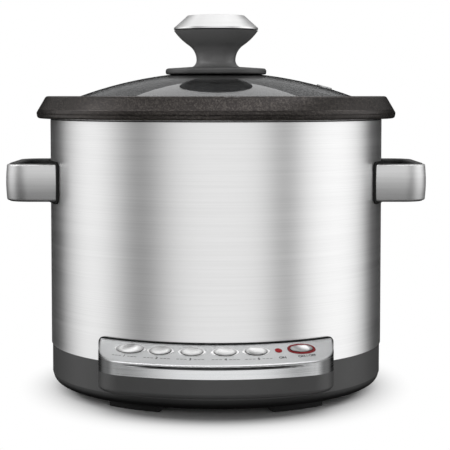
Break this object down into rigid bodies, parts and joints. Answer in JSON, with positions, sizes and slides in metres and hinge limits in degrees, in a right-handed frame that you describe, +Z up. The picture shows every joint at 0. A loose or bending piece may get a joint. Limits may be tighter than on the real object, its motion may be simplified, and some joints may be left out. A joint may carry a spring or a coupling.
{
  "type": "slow cooker",
  "caption": "Countertop slow cooker: brushed steel body on a moulded base, sloped front button panel, loop handles, lift-out bowl and domed glass lid with a knob.",
  "frame": {"origin": "under the middle of the bounding box, on the surface that the feet stand on", "axes": "+Z up, the control panel faces -Y, +X to the right of someone facing the panel"},
  "size_m": [0.3278, 0.3009, 0.296],
  "materials": {
    "brushed_steel": "fine horizontal brushing, satin",
    "panel_metal": "bead-blasted slope over a brushed front edge",
    "chrome_trim": "polished",
    "button_chrome": "satin chrome plating",
    "charcoal_plastic": "satin moulded charcoal",
    "black_plastic": "fine moulded grain",
    "rubber": "matte",
    "red_lens": "clear red moulding",
    "bowl_coating": "dark non-stick coating with a fine metallic fleck",
    "lid_glass": "smoky tempered glass",
    "inner_metal": "plain drawn sheet",
    "cast_metal": "cast, machined top",
    "fixing_steel": "zinc plated",
    "board": "solder-masked board",
    "component_black": "moulded",
    "contact_brass": "plated",
    "lead_insulation": "smooth"
  },
  "bodies": {
    "housing": {"bottom_cover": "black_plastic", "feet": "rubber", "base_moulding": "charcoal_plastic", "base_screws": "fixing_steel", "steel_shell": "brushed_steel", "inner_liner": "inner_metal", "top_ring": "black_plastic", "heater_plate": "cast_metal", "heating_element": "fixing_steel", "heater_posts": "fixing_steel", "thermal_fuse": "component_black", "sensor_bracket": "inner_metal", "sensor_spring": "fixing_steel", "power_board": "board", "relay": "component_black", "transformer": "component_black", "heater_leads": "lead_insulation", "panel_lead": "lead_insulation", "inlet_socket": "black_plastic", "inlet_pins": "contact_brass", "inlet_leads": "lead_insulation", "control_fascia": "panel_metal", "panel_gasket": "rubber", "button_bezels": "chrome_trim", "light_ring": "red_lens", "indicator_lens": "red_lens", "indicator_lamp": "red_lens", "control_board": "board", "tact_switches": "component_black", "board_screws": "fixing_steel", "handle_gasket_right": "rubber", "handle_gasket_left": "rubber", "handle_grip_right": "black_plastic", "handle_grip_left": "black_plastic", "handle_band_right": "brushed_steel", "handle_band_left": "brushed_steel", "handle_screws": "fixing_steel"},
    "bowl": {"cooking_bowl": "bowl_coating"},
    "lid": {"lid_glass": "lid_glass", "lid_rim": "brushed_steel", "vent_eyelet": "chrome_trim", "knob_seal": "rubber", "knob_foot": "charcoal_plastic", "knob_grip": "charcoal_plastic", "knob_cap": "chrome_trim", "glass_seal": "rubber", "knob_washer": "fixing_steel", "knob_screw": "fixing_steel"},
    "sensor": {"sensor_cap": "inner_metal", "sensor_clip": "fixing_steel"},
    "function_button_1": {"function_button_1": "button_chrome"},
    "function_button_2": {"function_button_2": "button_chrome"},
    "function_button_3": {"function_button_3": "button_chrome"},
    "function_button_4": {"function_button_4": "button_chrome"},
    "function_button_5": {"function_button_5": "button_chrome"},
    "start_button": {"start_button": "button_chrome"}
  },
  "joints": [
    {"name": "bowl_lift", "type": "slide", "parent": "housing", "child": "bowl", "axis": [0, 0, 1], "range_m": [0, 0.19]},
    {"name": "lid_lift", "type": "slide", "parent": "bowl", "child": "lid", "axis": [0, 0, 1], "range_m": [0, 0.12]},
    {"name": "sensor_plunge", "type": "slide", "parent": "housing", "child": "sensor", "axis": [0, 0, 1], "range_m": [-0.002, 0], "stiffness_N_per_m": 300, "springref_m": 0.004, "deforming": ["sensor_spring"]},
    {"name": "function_button_1_press", "type": "slide", "parent": "housing", "child": "function_button_1", "axis": [0, -0.3843, 0.9232], "range_m": [-0.0008, 0], "stiffness_N_per_m": 800, "springref_m": 0.001},
    {"name": "function_button_2_press", "type": "slide", "parent": "housing", "child": "function_button_2", "axis": [0, -0.3843, 0.9232], "range_m": [-0.0008, 0], "stiffness_N_per_m": 800, "springref_m": 0.001},
    {"name": "function_button_3_press", "type": "slide", "parent": "housing", "child": "function_button_3", "axis": [0, -0.3843, 0.9232], "range_m": [-0.0008, 0], "stiffness_N_per_m": 800, "springref_m": 0.001},
    {"name": "function_button_4_press", "type": "slide", "parent": "housing", "child": "function_button_4", "axis": [0, -0.3843, 0.9232], "range_m": [-0.0008, 0], "stiffness_N_per_m": 800, "springref_m": 0.001},
    {"name": "function_button_5_press", "type": "slide", "parent": "housing", "child": "function_button_5", "axis": [0, -0.3843, 0.9232], "range_m": [-0.0008, 0], "stiffness_N_per_m": 800, "springref_m": 0.001},
    {"name": "start_button_press", "type": "slide", "parent": "housing", "child": "start_button", "axis": [0, -0.3843, 0.9232], "range_m": [-0.0008, 0], "stiffness_N_per_m": 800, "springref_m": 0.001}
  ]
}
